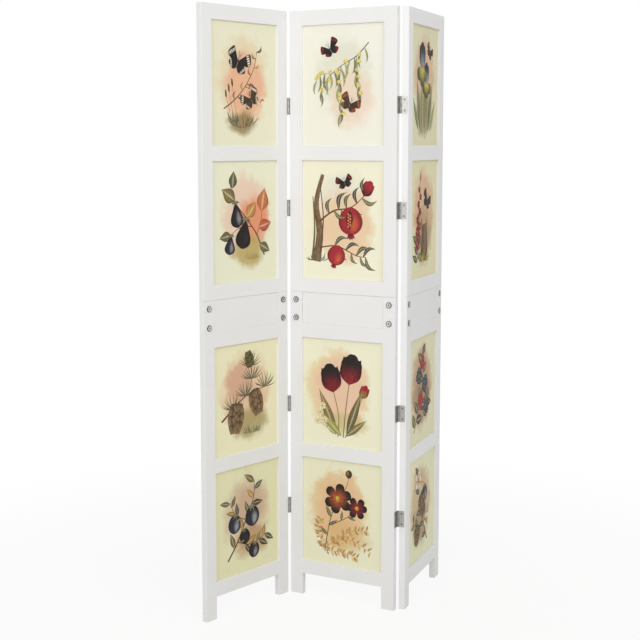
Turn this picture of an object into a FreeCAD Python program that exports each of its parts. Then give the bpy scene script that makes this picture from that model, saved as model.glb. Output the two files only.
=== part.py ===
import FreeCAD, Part
import math
import os

from FreeCAD import Vector

# Three-panel folding screen in painted wood, standing open in a zigzag.
# Lengths are millimetres and angles are degrees.
# Each panel is first built flat in its own coordinates: X runs along the panel from its
# left edge, Y from its front face to its back face, and Z up from the floor.
# The middle panel stays there. The side panels are set in line with it and then folded.

# Panel frame: two half frames, one above the other, spliced at mid height
panel_width = 360.0
panel_thickness = 19.0
stile_width = 42.0
rail_height = 44.0
leg_height = 68.0
lower_picture_height = 330.0
upper_picture_height = 356.0
splice_height = 96.0
shoulder_gap = 0.3
corner_rounding = 1.2
opening_easing = 0.9
seam_easing = 0.7

# Tenons on the rail ends, in mortises in the stiles
tenon_thickness = 6.0
tenon_length = 22.0
tenon_shoulder = 8.0
tenon_play = 0.1
mortise_end_gap = 1.0

# Picture boards, held in grooves
picture_thickness = 3.0
picture_recess = 8.0
picture_groove_depth = 6.0
picture_face_play = 0.15
picture_side_play = 0.5
picture_top_play = 0.8

# Middle board between the half frames, tongued into the rail above it and the rail below it
board_recess = 1.5
board_tongue_thickness = 5.0
board_tongue_height = 6.0
board_tongue_play = 0.15
board_top_gap = 0.4
board_end_gap = 0.4

# Connector bolts and cap nuts, two through each lapped stile
bolt_spacing = 56.0
bolt_above_splice_foot = 16.0
bolt_head_diameter = 18.0
bolt_head_height = 2.5
bolt_head_rounding = 1.1
bolt_shank_diameter = 6.0
bolt_hole_play = 0.3
bolt_thread_play = 0.05
bolt_end_gap = 3.0
socket_width = 7.0
socket_depth = 1.6
nut_sleeve_diameter = 9.0
nut_front_wall = 7.5
nut_sleeve_play = 0.2
nut_end_gap = 0.5
nut_cap_wall = 1.0

# Butt hinges: the leaves lie on the panel edges and the barrels stand clear of the faces
hinge_height = 50.0
hinge_panel_gap = 5.0
hinge_axis_offset = 3.5
leaf_thickness = 1.5
leaf_margin = 3.5
leaf_corner_rounding = 2.0
leaf_clearance = 0.4
barrel_diameter = 5.0
knuckle_count = 5
knuckle_gap = 0.2
pin_diameter = 2.6
pin_play = 0.05
pin_head_diameter = 4.2
pin_head_height = 1.0
hinge_centre_from_end = 282.0
hinge_centre_from_splice = 255.0

# Countersunk screws, two in each hinge leaf
screw_spacing = 32.0
screw_head_diameter = 6.4
screw_shank_diameter = 3.2
screw_length = 16.0
screw_point_length = 4.0
screw_play = 0.05
screw_slot_width = 0.9
screw_slot_depth = 0.8
screw_slot_margin = 1.0

# How far each side panel is folded from the straight line, as the screen stands
left_fold_angle = 79.0
right_fold_angle = 98.0

# How far a cutting shape runs past what it cuts, and how close two equal places are
overrun = 2.0
same_place = 0.005

# Heights of the frame members, worked out upward from the floor
splice_foot = leg_height + 3 * rail_height + 2 * lower_picture_height
splice_top = splice_foot + splice_height
panel_height = splice_top + 3 * rail_height + 2 * upper_picture_height
rail_feet = {
    "lower_bottom": leg_height,
    "lower_middle": leg_height + rail_height + lower_picture_height,
    "lower_top": splice_foot - rail_height,
    "upper_bottom": splice_top,
    "upper_middle": splice_top + rail_height + upper_picture_height,
    "upper_top": panel_height - rail_height,
}
hinge_centres = [
    panel_height - hinge_centre_from_end,
    splice_top + hinge_centre_from_splice,
    splice_foot - hinge_centre_from_splice,
    hinge_centre_from_end,
]

# Picture openings from the top down, each as its foot and its top
picture_openings = [
    (rail_feet["upper_middle"] + rail_height, rail_feet["upper_top"]),
    (rail_feet["upper_bottom"] + rail_height, rail_feet["upper_middle"]),
    (rail_feet["lower_middle"] + rail_height, rail_feet["lower_top"]),
    (rail_feet["lower_bottom"] + rail_height, rail_feet["lower_middle"]),
]

# Lines and planes that several pieces share
opening_left = stile_width
opening_right = panel_width - stile_width
mid_width = panel_width / 2
mid_depth = panel_thickness / 2
panel_pitch = panel_width + hinge_panel_gap
leaf_width = panel_thickness - leaf_margin
left_axis = Vector(-hinge_panel_gap / 2, -hinge_axis_offset, 0)
right_axis = Vector(panel_width + hinge_panel_gap / 2, panel_thickness + hinge_axis_offset, 0)
along = Vector(1, 0, 0)
backward = Vector(0, 1, 0)
upward = Vector(0, 0, 1)


def block(x_from, x_to, y_from, y_to, z_from, z_to):
    """A box between two opposite corners."""
    corner = Vector(x_from, y_from, z_from)
    return Part.makeBox(x_to - x_from, y_to - y_from, z_to - z_from, corner)


def near(a, b):
    """True where two places are the same."""
    return abs(a - b) < same_place


def round_edges(shape, radius, wanted):
    """Rounds the edges whose middle point passes the test."""
    return shape.makeFillet(radius, [edge for edge in shape.Edges if wanted(edge.CenterOfMass)])


def moved(shape, offset):
    """A copy of a shape, shifted."""
    copy = shape.copy()
    copy.translate(offset)
    return copy


def turned(shape, centre, angle):
    """A copy of a shape, turned about an upright axis."""
    copy = shape.copy()
    copy.rotate(centre, upward, angle)
    return copy


def opening_ease(z_from, z_to):
    """Two shallow frustums that ease the front and the back edges of an opening."""
    front = Part.makeWedge(
        opening_left - opening_easing,
        0,
        z_from - opening_easing,
        z_from,
        opening_left,
        opening_right + opening_easing,
        opening_easing,
        z_to + opening_easing,
        z_to,
        opening_right,
    )
    return [front, front.mirror(Vector(0, mid_depth, 0), backward)]


def frame_easing():
    """All the easing cuts of one panel: the pictures, the middle board and between the legs."""
    openings = picture_openings + [(splice_foot, splice_top), (-overrun, leg_height)]
    cutters = []
    for z_from, z_to in openings:
        cutters += opening_ease(z_from, z_to)
    return Part.makeCompound(cutters)


def picture_groove(x_from, x_to, z_from, z_to):
    """A groove for a picture board."""
    y_from = picture_recess - picture_face_play
    y_to = picture_recess + picture_thickness + picture_face_play
    return block(x_from, x_to, y_from, y_to, z_from, z_to)


def tongue_groove(z_from, z_to):
    """A groove in a rail's edge for the middle board's tongue."""
    half_groove = board_tongue_thickness / 2 + board_tongue_play
    return block(
        opening_left, opening_right, mid_depth - half_groove, mid_depth + half_groove, z_from, z_to
    )


def mortises(half):
    """The mortises of the left stile for the rails of one half frame."""
    half_width = tenon_thickness / 2 + tenon_play
    cutters = []
    for name, foot in rail_feet.items():
        if name.startswith(half):
            cutters.append(
                block(
                    opening_left - tenon_length - mortise_end_gap,
                    opening_left + overrun,
                    mid_depth - half_width,
                    mid_depth + half_width,
                    foot + tenon_shoulder - tenon_play,
                    foot + rail_height - tenon_shoulder + tenon_play,
                )
            )
    return cutters


def stile_grooves():
    """The picture board grooves of the left stile."""
    x_from = opening_left - picture_groove_depth
    x_to = opening_left + overrun
    return [
        picture_groove(x_from, x_to, z_from - picture_groove_depth, z_to + picture_groove_depth)
        for z_from, z_to in picture_openings
    ]


def bolt_heights():
    """The two bolt rows of a splice."""
    first = splice_foot + bolt_above_splice_foot
    return [first, first + bolt_spacing]


def bolt_holes():
    """Stepped holes through the left stile: the bolt's from the front, the sleeve's from the back."""
    cutters = []
    for z in bolt_heights():
        front = Vector(stile_width / 2, -overrun, z)
        step = Vector(stile_width / 2, nut_front_wall - nut_end_gap, z)
        bolt_radius = bolt_shank_diameter / 2 + bolt_hole_play
        sleeve_radius = nut_sleeve_diameter / 2 + nut_sleeve_play
        cutters.append(Part.makeCylinder(bolt_radius, panel_thickness + overrun, front, backward))
        cutters.append(Part.makeCylinder(sleeve_radius, panel_thickness, step, backward))
    return cutters


def seam_groove(start, end):
    """A fine V groove along a seam between two lapped stiles, cut by a square bar on its edge."""
    run = end - start
    out = Vector(run.y, run.z, run.x).normalize() * seam_easing
    up = Vector(run.z, run.x, run.y).normalize() * seam_easing
    corners = [start + out, start + up, start - out, start - up, start + out]
    return Part.Face(Part.makePolygon(corners)).extrude(run)


def splice_seams():
    """The grooves where the splice shows on the left stile's front, back and outer edge."""
    corners = [
        Vector(stile_width, 0, splice_top),
        Vector(0, 0, splice_top),
        Vector(0, mid_depth, splice_top),
        Vector(0, mid_depth, splice_foot),
        Vector(0, panel_thickness, splice_foot),
        Vector(stile_width, panel_thickness, splice_foot),
    ]
    return [seam_groove(start, end) for start, end in zip(corners, corners[1:])]


def screw_body(play):
    """A countersunk screw along X, its head's top at the outer face of a leaf on the left edge."""
    head_radius = screw_head_diameter / 2 + play
    shank_radius = screw_shank_diameter / 2 + play
    shank_end = screw_length - leaf_thickness - screw_point_length
    shoulder = Vector(0, 0, 0)
    head = Part.makeCone(
        head_radius, shank_radius, leaf_thickness, Vector(-leaf_thickness, 0, 0), along
    )
    shank = Part.makeCylinder(shank_radius, shank_end + play, shoulder, along)
    point = Part.makeCone(
        shank_radius, 0, screw_point_length, Vector(shank_end + play, 0, 0), along
    )
    return head.fuse([shank, point]).removeSplitter()


def screw_places(face):
    """Where the hinge screws stand on a left edge, for hinges at the front or the back face."""
    y = leaf_width / 2
    if face == "back":
        y = panel_thickness - y
    rows = [centre + side * screw_spacing / 2 for centre in hinge_centres for side in (-1, 1)]
    return [Vector(0, y, row) for row in rows]


def left_stile(half, hinge_face):
    """A left-hand stile of one half frame, with screw holes where hinges are fixed to it."""
    lower = half == "lower"
    foot = 0 if lower else splice_foot
    top = splice_top - shoulder_gap if lower else panel_height
    end = foot if lower else top

    def outer_edge(middle):
        outside = near(middle.x, 0) and not near(middle.z, top if lower else foot)
        face_end = near(middle.z, end) and (near(middle.y, 0) or near(middle.y, panel_thickness))
        return outside or face_end

    stile = block(0, stile_width, 0, panel_thickness, foot, top)
    stile = round_edges(stile, corner_rounding, outer_edge)
    lap_x = (-overrun, stile_width + overrun)
    if lower:
        lap = block(*lap_x, mid_depth, panel_thickness + overrun, splice_foot, top + overrun)
    else:
        lap = block(*lap_x, -overrun, mid_depth, foot - overrun, splice_top)
    cutters = [lap, frame_easing()]
    cutters += mortises(half) + stile_grooves() + bolt_holes() + splice_seams()
    if hinge_face:
        for place in screw_places(hinge_face):
            if foot < place.z < top:
                cutters.append(moved(screw_body(screw_play), place))
    return stile.cut(cutters)


def stile(half, side, hinge_face):
    """A stile of either side: the right-hand one mirrors the left-hand one."""
    shape = left_stile(half, hinge_face)
    if side == "right":
        shape = shape.mirror(Vector(mid_width, 0, 0), along)
    return shape


def rail(name):
    """A rail with a tenon at each end and grooves for the boards above and below it."""
    foot = rail_feet[name]
    top = foot + rail_height
    body = block(opening_left, opening_right, 0, panel_thickness, foot, top)
    if name == "upper_top":
        body = round_edges(
            body,
            corner_rounding,
            lambda middle: near(middle.z, top) and not near(middle.y, mid_depth),
        )
    tenons = block(
        opening_left - tenon_length,
        opening_right + tenon_length,
        mid_depth - tenon_thickness / 2,
        mid_depth + tenon_thickness / 2,
        foot + tenon_shoulder,
        top - tenon_shoulder,
    )
    cutters = [frame_easing()]
    for z_from, z_to in picture_openings:
        if near(top, z_from):
            cutters.append(
                picture_groove(opening_left, opening_right, top - picture_groove_depth, top + overrun)
            )
        if near(foot, z_to):
            cutters.append(
                picture_groove(opening_left, opening_right, foot - overrun, foot + picture_groove_depth)
            )
    groove_depth = board_tongue_height + board_tongue_play
    if name == "lower_top":
        cutters.append(tongue_groove(top - groove_depth, top + overrun))
    if name == "upper_bottom":
        cutters.append(tongue_groove(foot - overrun, foot + groove_depth))
    return body.fuse(tenons).cut(cutters).removeSplitter()


def picture_board(opening):
    """A thin board that stands in the groove of the rail below and reaches into the others."""
    z_from, z_to = opening
    side_reach = picture_groove_depth - picture_side_play
    return block(
        opening_left - side_reach,
        opening_right + side_reach,
        picture_recess,
        picture_recess + picture_thickness,
        z_from - picture_groove_depth,
        z_to + picture_groove_depth - picture_top_play,
    )


def middle_board():
    """The board between the half frames, with a tongue along its top and its foot."""
    foot = splice_foot
    top = splice_top - board_top_gap
    x_from = opening_left + board_end_gap
    x_to = opening_right - board_end_gap
    front = board_recess
    back = panel_thickness - board_recess
    board = round_edges(
        block(x_from, x_to, front, back, foot, top),
        opening_easing,
        lambda middle: near(middle.y, front) or near(middle.y, back),
    )
    tongues = block(
        x_from,
        x_to,
        mid_depth - board_tongue_thickness / 2,
        mid_depth + board_tongue_thickness / 2,
        foot - board_tongue_height,
        splice_top + board_tongue_height,
    )
    return board.fuse(tongues).removeSplitter()


def hexagon_socket(mouth, inward):
    """A six-sided prism that sinks a hex key socket into a head."""
    side_angle = 60
    radius = socket_width / 2 / math.cos(math.radians(side_angle / 2))
    corners = []
    for step in range(7):
        turn = math.radians(side_angle * step)
        corners.append(mouth + Vector(radius * math.cos(turn), 0, radius * math.sin(turn)))
    return Part.Face(Part.makePolygon(corners)).extrude(inward * socket_depth)


def bolt_head(face, outward):
    """A low round head that sits on a face and points outward, with a hex socket."""
    rim = face + outward * bolt_head_height
    head = Part.makeCylinder(bolt_head_diameter / 2, bolt_head_height, face, outward)
    head = round_edges(head, bolt_head_rounding, lambda middle: near(middle.y, rim.y))
    return head.cut(hexagon_socket(rim, outward * -1))


def bolt(x, z):
    """A connector bolt that enters from the front face."""
    face = Vector(x, 0, z)
    shank = Part.makeCylinder(
        bolt_shank_diameter / 2, panel_thickness - bolt_end_gap, face, backward
    )
    return bolt_head(face, backward * -1).fuse(shank)


def cap_nut(x, z):
    """A cap nut that enters from the back face and takes the bolt in its sleeve."""
    face = Vector(x, panel_thickness, z)
    mouth = Vector(x, nut_front_wall, z)
    sleeve_length = panel_thickness - nut_front_wall
    sleeve = Part.makeCylinder(nut_sleeve_diameter / 2, sleeve_length, mouth, backward)
    bore_radius = bolt_shank_diameter / 2 + bolt_thread_play
    bore = Part.makeCylinder(bore_radius, sleeve_length - nut_cap_wall, mouth, backward)
    return bolt_head(face, backward).fuse(sleeve).cut(bore)


def knuckle_span(index):
    """The foot and the top of one knuckle, from the middle of the hinge."""
    pitch = (hinge_height + knuckle_gap) / knuckle_count
    foot = index * pitch - hinge_height / 2
    return foot, foot + pitch - knuckle_gap


def hinge_leaf(own_knuckles):
    """A leaf on the middle panel's left edge, hinge centred on the floor, with its knuckles."""
    plate = block(
        -leaf_thickness, 0, left_axis.y, leaf_width, -hinge_height / 2, hinge_height / 2
    )
    plate = round_edges(
        plate,
        leaf_corner_rounding,
        lambda middle: near(middle.y, leaf_width) and not near(middle.z, 0),
    )
    barrel_foot = left_axis - upward * (hinge_height / 2)
    barrel = Part.makeCylinder(barrel_diameter / 2, hinge_height, barrel_foot, upward)
    cutters = []
    for index in range(knuckle_count):
        if index not in own_knuckles:
            foot, top = knuckle_span(index)
            cutters.append(
                Part.makeCylinder(
                    barrel_diameter / 2 + leaf_clearance,
                    top - foot + 2 * knuckle_gap,
                    left_axis + upward * (foot - knuckle_gap),
                    upward,
                )
            )
    cutters.append(
        Part.makeCylinder(pin_diameter / 2 + pin_play, hinge_height, barrel_foot, upward)
    )
    for side in (-1, 1):
        place = Vector(0, leaf_width / 2, side * screw_spacing / 2)
        cutters.append(moved(screw_body(screw_play), place))
    return plate.fuse(barrel).cut(cutters).removeSplitter()


def hinge_pin():
    """A pin through the knuckles, its head on the top one."""
    foot = left_axis - upward * (hinge_height / 2)
    seat = left_axis + upward * (hinge_height / 2)
    pin = Part.makeCylinder(pin_diameter / 2, hinge_height, foot, upward)
    head = Part.makeCylinder(pin_head_diameter / 2, pin_head_height, seat, upward)
    return pin.fuse(head).removeSplitter()


def screw():
    """A screw with a cross slot in its head."""
    reach = screw_head_diameter / 2 - screw_slot_margin
    x_from = -leaf_thickness - overrun
    x_to = screw_slot_depth - leaf_thickness
    half_slot = screw_slot_width / 2
    upright = block(x_from, x_to, -half_slot, half_slot, -reach, reach)
    level = block(x_from, x_to, -reach, reach, -half_slot, half_slot)
    return screw_body(0).cut([upright, level])


def on_other_side(shape):
    """A middle panel's left edge piece, mirrored across the hinge axis to the next panel."""
    return shape.mirror(left_axis, along)


def half_turn(shape):
    """A left joint's piece, turned into the same piece of the right joint."""
    return turned(shape, Vector(mid_width, mid_depth, 0), 180)


def fold_left(shape):
    """Folds a piece of the left panel from the straight line to where it stands."""
    return turned(shape, left_axis, left_fold_angle)


def fold_right(shape):
    """Folds a piece of the right panel from the straight line to where it stands."""
    return turned(shape, right_axis, right_fold_angle)


def stand_left(shape):
    return fold_left(moved(shape, along * -panel_pitch))


def stand_middle(shape):
    return shape


def stand_right(shape):
    return fold_right(moved(shape, along * panel_pitch))


# Each panel's name, its place, and the face where its left and its right edge carry hinges
panels = [
    ("left", stand_left, None, "front"),
    ("middle", stand_middle, "front", "back"),
    ("right", stand_right, "back", None),
]


def panel_pieces(name, left_hinges, right_hinges):
    """The pieces of one panel, flat, by node name."""
    pieces = {}
    for half in ("upper", "lower"):
        pieces[f"{name}_panel_{half}_left_stile"] = [stile(half, "left", left_hinges)]
        pieces[f"{name}_panel_{half}_right_stile"] = [stile(half, "right", right_hinges)]
    for rail_name in rail_feet:
        pieces[f"{name}_panel_{rail_name}_rail"] = [rail(rail_name)]
    for number, opening in enumerate(picture_openings, start=1):
        pieces[f"{name}_panel_picture_board_{number}"] = [picture_board(opening)]
    pieces[f"{name}_panel_middle_board"] = [middle_board()]
    columns = (stile_width / 2, panel_width - stile_width / 2)
    places = [(x, z) for x in columns for z in bolt_heights()]
    pieces[f"{name}_panel_splice_bolts"] = [bolt(x, z) for x, z in places]
    pieces[f"{name}_panel_splice_nuts"] = [cap_nut(x, z) for x, z in places]
    return pieces


def hinge_pieces():
    """The hinges and their screws, by node name, each where it stands."""
    middle_leaf = hinge_leaf([index for index in range(knuckle_count) if index % 2 == 0])
    next_leaf = on_other_side(hinge_leaf([index for index in range(knuckle_count) if index % 2]))
    pin = hinge_pin()
    middle_leaves = [moved(middle_leaf, upward * centre) for centre in hinge_centres]
    next_leaves = [moved(next_leaf, upward * centre) for centre in hinge_centres]
    pins = [moved(pin, upward * centre) for centre in hinge_centres]
    middle_screws = [moved(screw(), place) for place in screw_places("front")]
    next_screws = [on_other_side(shape) for shape in middle_screws]
    return {
        "left_panel_hinge_leaves": [fold_left(shape) for shape in next_leaves],
        "left_panel_hinge_screws": [fold_left(shape) for shape in next_screws],
        "middle_panel_left_hinge_leaves": middle_leaves,
        "middle_panel_right_hinge_leaves": [half_turn(shape) for shape in middle_leaves],
        "middle_panel_hinge_screws": middle_screws + [half_turn(shape) for shape in middle_screws],
        "left_hinge_pins": pins,
        "right_hinge_pins": [half_turn(shape) for shape in pins],
        "right_panel_hinge_leaves": [fold_right(half_turn(shape)) for shape in next_leaves],
        "right_panel_hinge_screws": [fold_right(half_turn(shape)) for shape in next_screws],
    }


def build():
    """Writes one file for each node, the origin under the middle of the standing screen."""
    nodes = {}
    for name, stand, left_hinges, right_hinges in panels:
        for node, shapes in panel_pieces(name, left_hinges, right_hinges).items():
            nodes[node] = [stand(shape) for shape in shapes]
    nodes.update(hinge_pieces())

    everything = Part.makeCompound([shape for shapes in nodes.values() for shape in shapes])
    bounds = everything.optimalBoundingBox(False, False)
    shift = Vector(-(bounds.XMin + bounds.XMax) / 2, -(bounds.YMin + bounds.YMax) / 2, 0)

    os.makedirs("parts", exist_ok=True)
    for node, shapes in nodes.items():
        shapes = [moved(shape, shift) for shape in shapes]
        whole = shapes[0] if len(shapes) == 1 else Part.makeCompound(shapes)
        whole.exportStep(f"parts/{node}.step")

    print("size", bounds.XLength, bounds.YLength, bounds.ZLength, "shift", shift)
    print("left hinge axis", left_axis + shift, "right hinge axis", right_axis + shift)
    foot_of_each = {
        name: stand(Part.Vertex(stile_width / 2, mid_depth, 0)).Point + shift
        for name, stand, left_hinges, right_hinges in panels
    }
    print("left foot of each panel", foot_of_each)
    print("nodes", len(nodes), "solids", sum(len(shapes) for shapes in nodes.values()))


build()
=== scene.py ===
"""Dresses a three-panel folding room divider: white paint, printed pictures, metal fittings."""

import math
import random
from functools import partial

import bmesh
import bpy
from bpy.props import FloatProperty, FloatVectorProperty, PointerProperty
from mathutils import Matrix, Vector


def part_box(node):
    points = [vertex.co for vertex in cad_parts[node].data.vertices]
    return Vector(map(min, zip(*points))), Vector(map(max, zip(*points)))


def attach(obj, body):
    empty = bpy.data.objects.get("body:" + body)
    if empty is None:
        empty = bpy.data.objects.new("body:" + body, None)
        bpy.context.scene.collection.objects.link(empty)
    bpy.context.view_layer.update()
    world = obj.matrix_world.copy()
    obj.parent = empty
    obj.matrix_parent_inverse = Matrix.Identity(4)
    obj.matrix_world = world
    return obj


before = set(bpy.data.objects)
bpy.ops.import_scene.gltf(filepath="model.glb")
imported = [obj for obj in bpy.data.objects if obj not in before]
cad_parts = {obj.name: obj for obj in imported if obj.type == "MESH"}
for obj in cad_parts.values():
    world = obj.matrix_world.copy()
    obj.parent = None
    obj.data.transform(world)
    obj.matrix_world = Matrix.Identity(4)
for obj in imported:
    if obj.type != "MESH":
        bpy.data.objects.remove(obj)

bl_info = {
    "name": "Folding Room Divider",
    "version": (1, 0, 0),
    "blender": (4, 5, 0),
    "location": "3D View > Sidebar > Divider",
    "description": "Paints a folding screen, lays its printed pictures and finishes its fittings",
    "category": "Object",
}

MM = 0.001

# How far a picture board reaches into its grooves: at the sides, at its foot and at its top
SIDE_REACH = 5.5 * MM
FOOT_REACH = 6.0 * MM
TOP_REACH = 5.2 * MM

PANELS = ("left", "middle", "right")
PICTURE_NUMBERS = (1, 2, 3, 4)
RAIL_NAMES = (
    "upper_top", "upper_middle", "upper_bottom", "lower_top", "lower_middle", "lower_bottom"
)

# The bolts' round heads: from their middle, the painted shade in the socket ends and then the
# painted dark reflection on the rim begins
BOLT_HEAD_RADIUS = 9 * MM
SOCKET_SHADE_FULL = 3.4 * MM
SOCKET_SHADE_ENDS = 3.9 * MM
RIM_REFLECTION_STARTS = 5.6 * MM
RIM_REFLECTION_FULL = 7.4 * MM

# Spacing of the spots in each metal's lustre, which vary its gloss and, on plain plate, darken its
# colour as painted mottled reflection. Real ones are a tenth of this and would not show
ZINC_SPOTS = 1.5 * MM
NICKEL_SPOTS = 2.6 * MM
STEEL_SPOTS = 1.0 * MM

# Sizes of the marks in the other finishes. Hardboard fibres are finer than this and would not show
FIBRES = 2.5 * MM
PRINT_BLOTS = 42 * MM
PRINT_DABS = 13 * MM
INK_MOTTLE = 5 * MM
BARK_STREAKS = (2.2 * MM, 2.2 * MM, 16 * MM)
FLOOR_GRAIN = 30 * MM

# Brushed paint is a little uneven over a hand's breadth
PAINT_PATCHES_PER_METRE = 7.0

# Printed film is matt, so it mirrors less than the shader's plain plastic
PRINT_SHINE = 0.25

# Where a wash of colour ends, in widths of its oval with the two noises of its edge added
WASH_EDGE = 1.4

# Side veins of a leaf, and cells across half a wing
LEAF_VEINS = 9
WING_CELLS = 2.5

# Drawn shapes stand at stepped depths, so that those that overlap don't share a plane
DEPTH_STEP = 0.045 * MM
DEPTHS = 11

# The turn between one seed and the next in a plant's spiral
SEED_SPIRAL = 137.5

# Rows of scales on a cone, and the width in millimetres from which a blossom has broad petals
CONE_ROWS = 9
BROAD_BLOSSOM = 45

# How near to a row or column of a drawn shape's grid a vertex counts as in it
NEAR = 0.005

WHITE = (1, 1, 1, 1)

# Strength of the world's light on the object, where 1 is white
WORLD_LIGHT = 0.57

# Sockets of the colour form of the mix node
MIX_SHARE = 0
MIX_FIRST = 6
MIX_SECOND = 7


def linear(code):
    """A colour written as sRGB hex, as linear red, green and blue."""
    parts = [int(code[place : place + 2], 16) / 255 for place in (1, 3, 5)]
    return tuple(p / 12.92 if p <= 0.04045 else ((p + 0.055) / 1.055) ** 2.4 for p in parts)


def opaque(colour):
    """A colour with a full fourth part, as node sockets want it."""
    return (*colour, 1.0)


def length_setting(name, description, default):
    return FloatProperty(name=name, description=description, default=default, unit="LENGTH")


def colour_setting(name, description, code):
    return FloatVectorProperty(
        name=name, description=description, default=linear(code), subtype="COLOR", size=3
    )


class DividerSizes(bpy.types.PropertyGroup):
    """Sizes of the finishes and of the printed pictures."""

    # Real paint stipple is about half a millimetre and print dots are finer still: both are
    # drawn coarser, so that they show

    print_thickness: length_setting("Print thickness", "Film of each picture", 0.1 * MM)
    print_margin: length_setting("Print margin", "Film hidden in the grooves", 3 * MM)
    stem_rise: length_setting("Stem rise", "How far twigs stand off a picture", 0.15 * MM)
    leaf_rise: length_setting("Leaf rise", "How far leaves stand off a picture", 0.25 * MM)
    bloom_rise: length_setting("Bloom rise", "How far fruit and flowers stand off", 0.4 * MM)
    grain_length: length_setting("Grain length", "Length of the wood's grain marks", 70 * MM)
    grain_width: length_setting("Grain width", "Width of the wood's grain marks", 1.1 * MM)
    roller_grain: length_setting("Paint stipple", "Spacing of the paint's stipple", 1.6 * MM)
    print_grain: length_setting("Print grain", "Spacing of the print's grain", 1.3 * MM)


class DividerColours(bpy.types.PropertyGroup):
    """Colours of the paint, the boards, the metals and the printing inks."""

    paint: colour_setting("Paint", "Satin white paint", "#eeeeee")
    paint_warm: colour_setting("Thin paint", "Where the white paint is thinner", "#e6e6e4")
    board: colour_setting("Board", "Sealed back of the picture boards", "#ebe6da")
    zinc: colour_setting("Zinc", "Flats of the bolts, and cap nuts", "#e2e2de")
    # Painted dark reflection for the bolts' rims and painted shade for their sockets
    bolt_painted_shade_and_reflection: colour_setting("Painted shade on bolt heads", "Rims and sockets of the bolts", "#5f5f5c")
    nickel: colour_setting("Nickel", "Outer hinge leaves and pins", "#c3c2bd")
    # The same nickel darkened for the middle panel's hinges, as painted shade
    worn_nickel: colour_setting("Worn nickel", "Middle panel's hinge leaves", "#b0afab")
    steel: colour_setting("Steel", "Hinge screws", "#8b8a86")
    soot: colour_setting("Soot", "Near-black ink", "#241f1e")
    umber: colour_setting("Umber", "Dark brown ink", "#4a382a")
    twig: colour_setting("Twig", "Reddish brown ink", "#7b4a35")
    bark: colour_setting("Bark", "Pale brown ink", "#917655")
    crimson: colour_setting("Crimson", "Deep red ink", "#9e2c34")
    rust: colour_setting("Rust", "Orange red ink", "#c9663c")
    ochre: colour_setting("Ochre", "Ochre ink", "#bd9240")
    yellow: colour_setting("Yellow", "Clear yellow ink", "#e6d051")
    willow: colour_setting("Willow", "Yellow green ink", "#939d4b")
    olive: colour_setting("Olive", "Olive ink", "#6d6a3c")
    moss: colour_setting("Moss", "Dark green ink", "#4b5238")
    plum: colour_setting("Plum", "Blue black ink", "#2b2a38")
    mist: colour_setting("Mist", "Pale blue grey ink", "#a9aeb4")
    bone: colour_setting("Bone", "Warm white ink", "#efe6cf")


def sizes():
    return bpy.context.scene.divider_sizes


def colours():
    return bpy.context.scene.divider_colours


# Working in Blender: selection, materials and pieces


def deselect():
    """Leaves nothing selected, in object mode."""
    if bpy.context.object and bpy.context.object.mode != "OBJECT":
        bpy.ops.object.mode_set(mode="OBJECT")
    bpy.ops.object.select_all(action="DESELECT")


def pick(shape, wanted):
    """In edit mode, selects the vertices whose place passes the test, and nothing else."""
    mesh = bmesh.from_edit_mesh(shape.data)
    for vertex in mesh.verts:
        vertex.select = wanted(vertex.co)
    mesh.select_flush_mode()
    bmesh.update_edit_mesh(shape.data)


def join(parts, name):
    """Joins meshes that already lie in their place into one named piece."""
    deselect()
    for part in parts:
        part.select_set(True)
    bpy.context.view_layer.objects.active = parts[0]
    if len(parts) > 1:
        bpy.ops.object.join()
    piece = bpy.context.object
    piece.name = name
    piece.data.name = name
    return piece


def add_node(tree, kind, inputs=None, **settings):
    """Adds a node, sets its options, and fills its sockets with values, sockets or whole nodes."""
    node = tree.nodes.new(f"ShaderNode{kind}")
    for name, value in settings.items():
        setattr(node, name, value)
    for socket, value in (inputs or {}).items():
        if isinstance(value, bpy.types.Node):
            value = next(output for output in value.outputs if output.enabled)
        if isinstance(value, bpy.types.NodeSocket):
            tree.links.new(value, node.inputs[socket])
        else:
            node.inputs[socket].default_value = value
    return node


def new_material(name):
    """A material with an empty node tree, and add_node for that tree."""
    material = bpy.data.materials.new(name)
    material.use_nodes = True
    material.node_tree.nodes.clear()
    return material, partial(add_node, material.node_tree)


def finish_material(add, inputs):
    """Puts the main shader and the output on a node tree."""
    add("OutputMaterial", {"Surface": add("BsdfPrincipled", inputs)})


def dress(piece, material):
    """Gives a piece one material, in the object's own slots."""
    if not piece.material_slots:
        piece.data.materials.append(material)
    for slot in piece.material_slots:
        slot.link = "OBJECT"
        slot.material = material


# Where the panels and their pictures are, read from the frame


def middle(node):
    low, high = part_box(node)
    return (low + high) / 2


def panel_along(panel):
    """The level direction across a panel's front, from its left stile to its right one."""
    first = middle(f"{panel}_panel_lower_left_stile")
    last = middle(f"{panel}_panel_lower_right_stile")
    rough = Vector((last.x - first.x, last.y - first.y, 0)).normalized()
    corners = [v.co.copy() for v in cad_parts[f"{panel}_panel_picture_board_1"].data.vertices]
    reach = [corner.dot(rough) for corner in corners]
    centre = (max(reach) + min(reach)) / 2
    right = [c for c, r in zip(corners, reach) if r > centre]
    left = [c for c, r in zip(corners, reach) if r < centre]
    across = sum(right, Vector()) / len(right) - sum(left, Vector()) / len(left)
    across.z = 0
    return across.normalized()


def panel_turn(panel):
    """A panel's angle about the vertical."""
    along = panel_along(panel)
    return math.atan2(along.y, along.x)


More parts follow.
